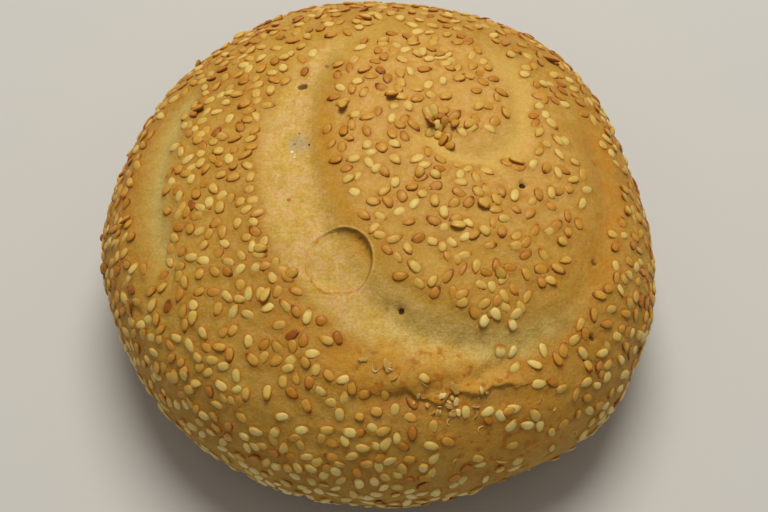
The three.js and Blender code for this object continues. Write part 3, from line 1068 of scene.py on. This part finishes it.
def crust_material(crust):
    nodes = Nodes("baked_crust")
    slow = nodes.range(nodes.noise(14, 2), 0.35, 0.65)
    clouds = nodes.range(nodes.noise(3.6, 4, 0.62), 0.4, 0.6)
    flecks = nodes.range(nodes.noise(1.7, 4, 0.65), 0.42, 0.62)
    blots = nodes.range(nodes.noise(2, 1.5, 0.5), 0.58, 0.66)
    mottle = nodes.range(nodes.noise(2.6, 3, 0.6), 0.48, 0.64)
    broken = nodes.range(nodes.noise(2.5, 2), 0.35, 0.55)
    grain = nodes.noise(0.7, 4, 0.7)
    line, shade, rim = hub_zones(crust, nodes)
    stain = nodes.spot(crust.on_top(*GREY_PATCH), GREY_PATCH_RADIUS, 0.6)

    valley = nodes.layered(nodes.mix(clouds, VALLEY_PINK, VALLEY_YELLOW), [
        (flecks, 0.5, VALLEY_CREAM),
        (mottle, 0.65, VALLEY_OLIVE),
        ("front", (clouds, 0.75, 0.35), FRONT_CREAM),
    ])
    colour = nodes.layered(nodes.mix(slow, GOLDEN, DEEP_GOLDEN), [
        (mottle, 0.36, ORANGE_BROWN),
        ("petal", 0.8, PETAL_GOLDEN),
        (flecks, ("petal", 0.26, 0.5), PEACH),
        ("under", 1.0, UNDER_BROWN),
        ("orange", (clouds, 0.25, 0.85), ORANGE_BROWN),
        ("pale", 0.75, PALE_DOUGH),
        ("streak", (clouds, 0.8, 0.45), STREAK_PALE),
        ("valley", 1.0, valley),
        # Painted shade on the valley's wall.
        ("foot_shade", (clouds, 0.25, 0.75), WALL_SHADE_OLIVE),
        ("lip", (flecks, 0.85, 0.55), LIP_BROWN),
        ("sparse", (clouds, 0.3, 0.9), PATCH_GOLDEN),
        ("torn", (flecks, 0.1, 0.5), TORN_ORANGE),
        ("torn", (flecks, 0.0, 0.4), PALE_DOUGH),
        ("torn", (blots, 0.0, 0.7), SOCKET_BROWN),
        # Painted shade in front of the tear.
        ("below_tear_shade", (clouds, 0.3, 0.75), BELOW_TEAR_SHADE),
        ("sparse", (blots, 0.0, 0.85), SOCKET_BROWN),
        ("socket", 0.8, SOCKET_BROWN),
        # Browned crust and painted contact shade round each seed.
        ("halo_and_shade", (clouds, 0.15, 0.55), HALO_BROWN_AND_SHADE),
        # Painted shadow under the torn edge.
        ("tear_shadow", (flecks, 0.1, 0.6), TEAR_SHADOW_DARK),
        (line, (broken, 0.05, 1.0), ORANGE_BROWN),
        (rim, 0.3, HUB_RIM),
        # Painted shade inside the hub mark's wall.
        (shade, 0.85, HUB_SHADE),
        (stain, (nodes.range(grain, 0.35, 0.6), 0.0, 0.8), STAIN_GREY),
    ])
    colour = nodes.layered(colour, [
        (nodes.spot(crust.on_top(*place), radius), 0.9, code)
        for code, specks in SPECKS.items()
        for place, radius in specks
    ])
    # Painted shade inside each pinhole.
    colour = nodes.layered(colour, [
        (nodes.spot(crust.on_top(*place), 1.15 * radius, 0.2), shade_share, HOLE_SHADE_DARK)
        for place, radius, _, shade_share in PINHOLES
    ])

    tint = nodes.mix(nodes.range(grain, 0.25, 0.75), GRAIN_DARK, GRAIN_LIGHT)
    speckle = nodes.range(nodes.noise(0.5, 2, 0.7), 0.3, 0.7, -1, 1)
    speckle = nodes.math("MULTIPLY", speckle, nodes.range(nodes.value("valley"), 0, 1, 0.08, 0.16))
    colour = nodes.mix(1.0, colour, tint, "MULTIPLY")
    wrinkled = nodes.bump(nodes.noise(1.8, 5, 0.65), 0.36, 0.75)
    return nodes.surface({
        "Base Color": nodes.mix(1.0, colour, nodes.math("ADD", speckle, 1.0), "MULTIPLY"),
        "Roughness": nodes.range(nodes.noise(3, 3), 0.3, 0.7, 0.55, 0.75),
        "Specular IOR Level": 0.2,
        "Subsurface Weight": 0.08,
        "Subsurface Radius": (1.0, 0.45, 0.15),
        "Subsurface Scale": 1.2 * MILLIMETRE,
        "Normal": nodes.bump(grain, 0.16, 0.8, wrinkled),
    })


def flake_material(name):
    nodes = Nodes(name)
    flaky = nodes.range(nodes.noise(0.6, 3), 0.3, 0.7, -0.15, 0.15)
    return nodes.surface({
        "Base Color": nodes.ramp(nodes.math("ADD", nodes.value("tone"), flaky), FLAKE_COLOURS),
        "Roughness": 0.7,
        "Normal": nodes.bump(nodes.noise(0.4, 3), 0.06, 0.8),
    })


def seed_material(name):
    """A seed's tone, with its point toasted darker, and its rim darker both from toasting and from painted
    shade.
    """
    nodes = Nodes(name)
    streak = nodes.range(nodes.noise(0.8, 3, 0.6), 0.3, 0.7, -0.06, 0.06)
    toasting = nodes.range(nodes.value("chance"), 0.2, 1, 0.1, 0.72)
    tip = nodes.math("MULTIPLY", nodes.range(nodes.value("tip"), 0.35, 0.95), toasting)
    # Toasting and painted shade: darker from the seed's crown down its sides and underside.
    rim = nodes.range(nodes.value("crown"), 0.74, 0.1, 0.0, 0.42)
    tone = nodes.math("ADD", nodes.value("tone"), streak)
    return nodes.surface({
        "Base Color": nodes.ramp(nodes.math("ADD", tone, nodes.math("MAXIMUM", tip, rim)), SEED_COLOURS),
        "Roughness": nodes.range(nodes.value("chance"), 0, 1, 0.35, 0.5),
        "Specular IOR Level": 0.22,
        "Subsurface Weight": 0.12,
        "Subsurface Radius": (1.0, 0.6, 0.3),
        "Subsurface Scale": 0.8 * MILLIMETRE,
        "Normal": nodes.bump(nodes.noise(0.5, 3), 0.05, 0.6),
    })


# The stage, the light and the camera

FLOOR_SIZE = 3.0  # metres, as the key light's sizes are
CAMERA_ELEVATION = 60.0
CAMERA_DISTANCE = 360.0
CAMERA_TARGET = (0.6, -5.4, 25.0)
LENS = 79.3
SENSOR_WIDTH = 36
KEY_PLACE = (0.03, 0.34, 0.9)
KEY_TARGET = (0, 0, 0.03)
KEY_SIZE = 0.55
KEY_POWER = 8.2
KEY_COLOUR = (1.0, 0.97, 0.9)
SKY_COLOUR = (1.0, 0.96, 0.89, 1)
SKY_STRENGTH = 0.285


def make_floor():
    half = FLOOR_SIZE / 2 / MILLIMETRE
    corners = [(-half, -half, 0), (half, -half, 0), (half, half, 0), (-half, half, 0)]
    floor = new_mesh("floor", corners, [[0, 1, 2, 3]])
    floor.data.materials.append(Nodes("pale_floor").surface({"Base Color": "C2C0BC", "Roughness": 0.8}))


def make_lights():
    """One large soft lamp from above and behind, and an even sky."""
    lamp = bpy.data.lights.new("key", "AREA")
    lamp.shape = "DISK"
    lamp.size = KEY_SIZE
    lamp.energy = KEY_POWER
    lamp.color = KEY_COLOUR
    made = new_object("key", lamp)
    made.location = KEY_PLACE
    made.rotation_euler = (Vector(KEY_TARGET) - Vector(KEY_PLACE)).to_track_quat("-Z", "Y").to_euler()
    world = bpy.data.worlds.new("studio")
    world.use_nodes = True
    backdrop = world.node_tree.nodes["Background"]
    backdrop.inputs["Color"].default_value = SKY_COLOUR
    backdrop.inputs["Strength"].default_value = SKY_STRENGTH
    scene.world = world
    scene.view_settings.view_transform = "Standard"


def make_camera(middle):
    camera = bpy.data.cameras.new("camera")
    camera.lens = LENS
    camera.sensor_width = SENSOR_WIDTH
    camera.clip_start = 0.01
    made = new_object("camera", camera)
    tilt = radians(CAMERA_ELEVATION)
    back = Vector((0, -cos(tilt), sin(tilt))) * CAMERA_DISTANCE
    made.location = (Vector(CAMERA_TARGET) - Vector(middle) + back) * MILLIMETRE
    made.rotation_euler = (pi / 2 - tilt, 0, 0)
    scene.camera = made


def dress(crust, piece, material):
    """Puts a piece over the frame's origin, and gives it its finish and its body."""
    piece.data.transform(Matrix.Translation(-MILLIMETRE * crust.middle))
    piece.data.materials.append(material)
    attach(piece, BODY)


crust = Crust()
make_camera(crust.middle)
baked = together(baked_seeds(crust), pale_seeds(crust))
loose = together(upper_seeds(baked), pit_seeds(crust))
for lost in each(lost_seeds(crust, SOCKET_COUNT)):
    crust.empty_socket(lost)
for seed in each(baked):
    crust.bed(seed)
crust_piece = crust.finish()
dress(crust, crust_piece, crust_material(crust))
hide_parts(NODE)
dress(crust, make_flakes(crust), flake_material("torn_flake"))
dress(crust, make_prints(crust), flake_material("print_skin"))
seeds = together(baked, loose)
ranks = seeds["tone"].argsort().argsort() / len(seeds["tone"])
for kind, (least, most) in SEED_KINDS.items():
    of_kind = (ranks >= least) & (ranks < most)
    chosen = {name: values[of_kind] for name, values in seeds.items()}
    dress(crust, make_seeds(kind, chosen), seed_material(kind))
make_floor()
make_lights()
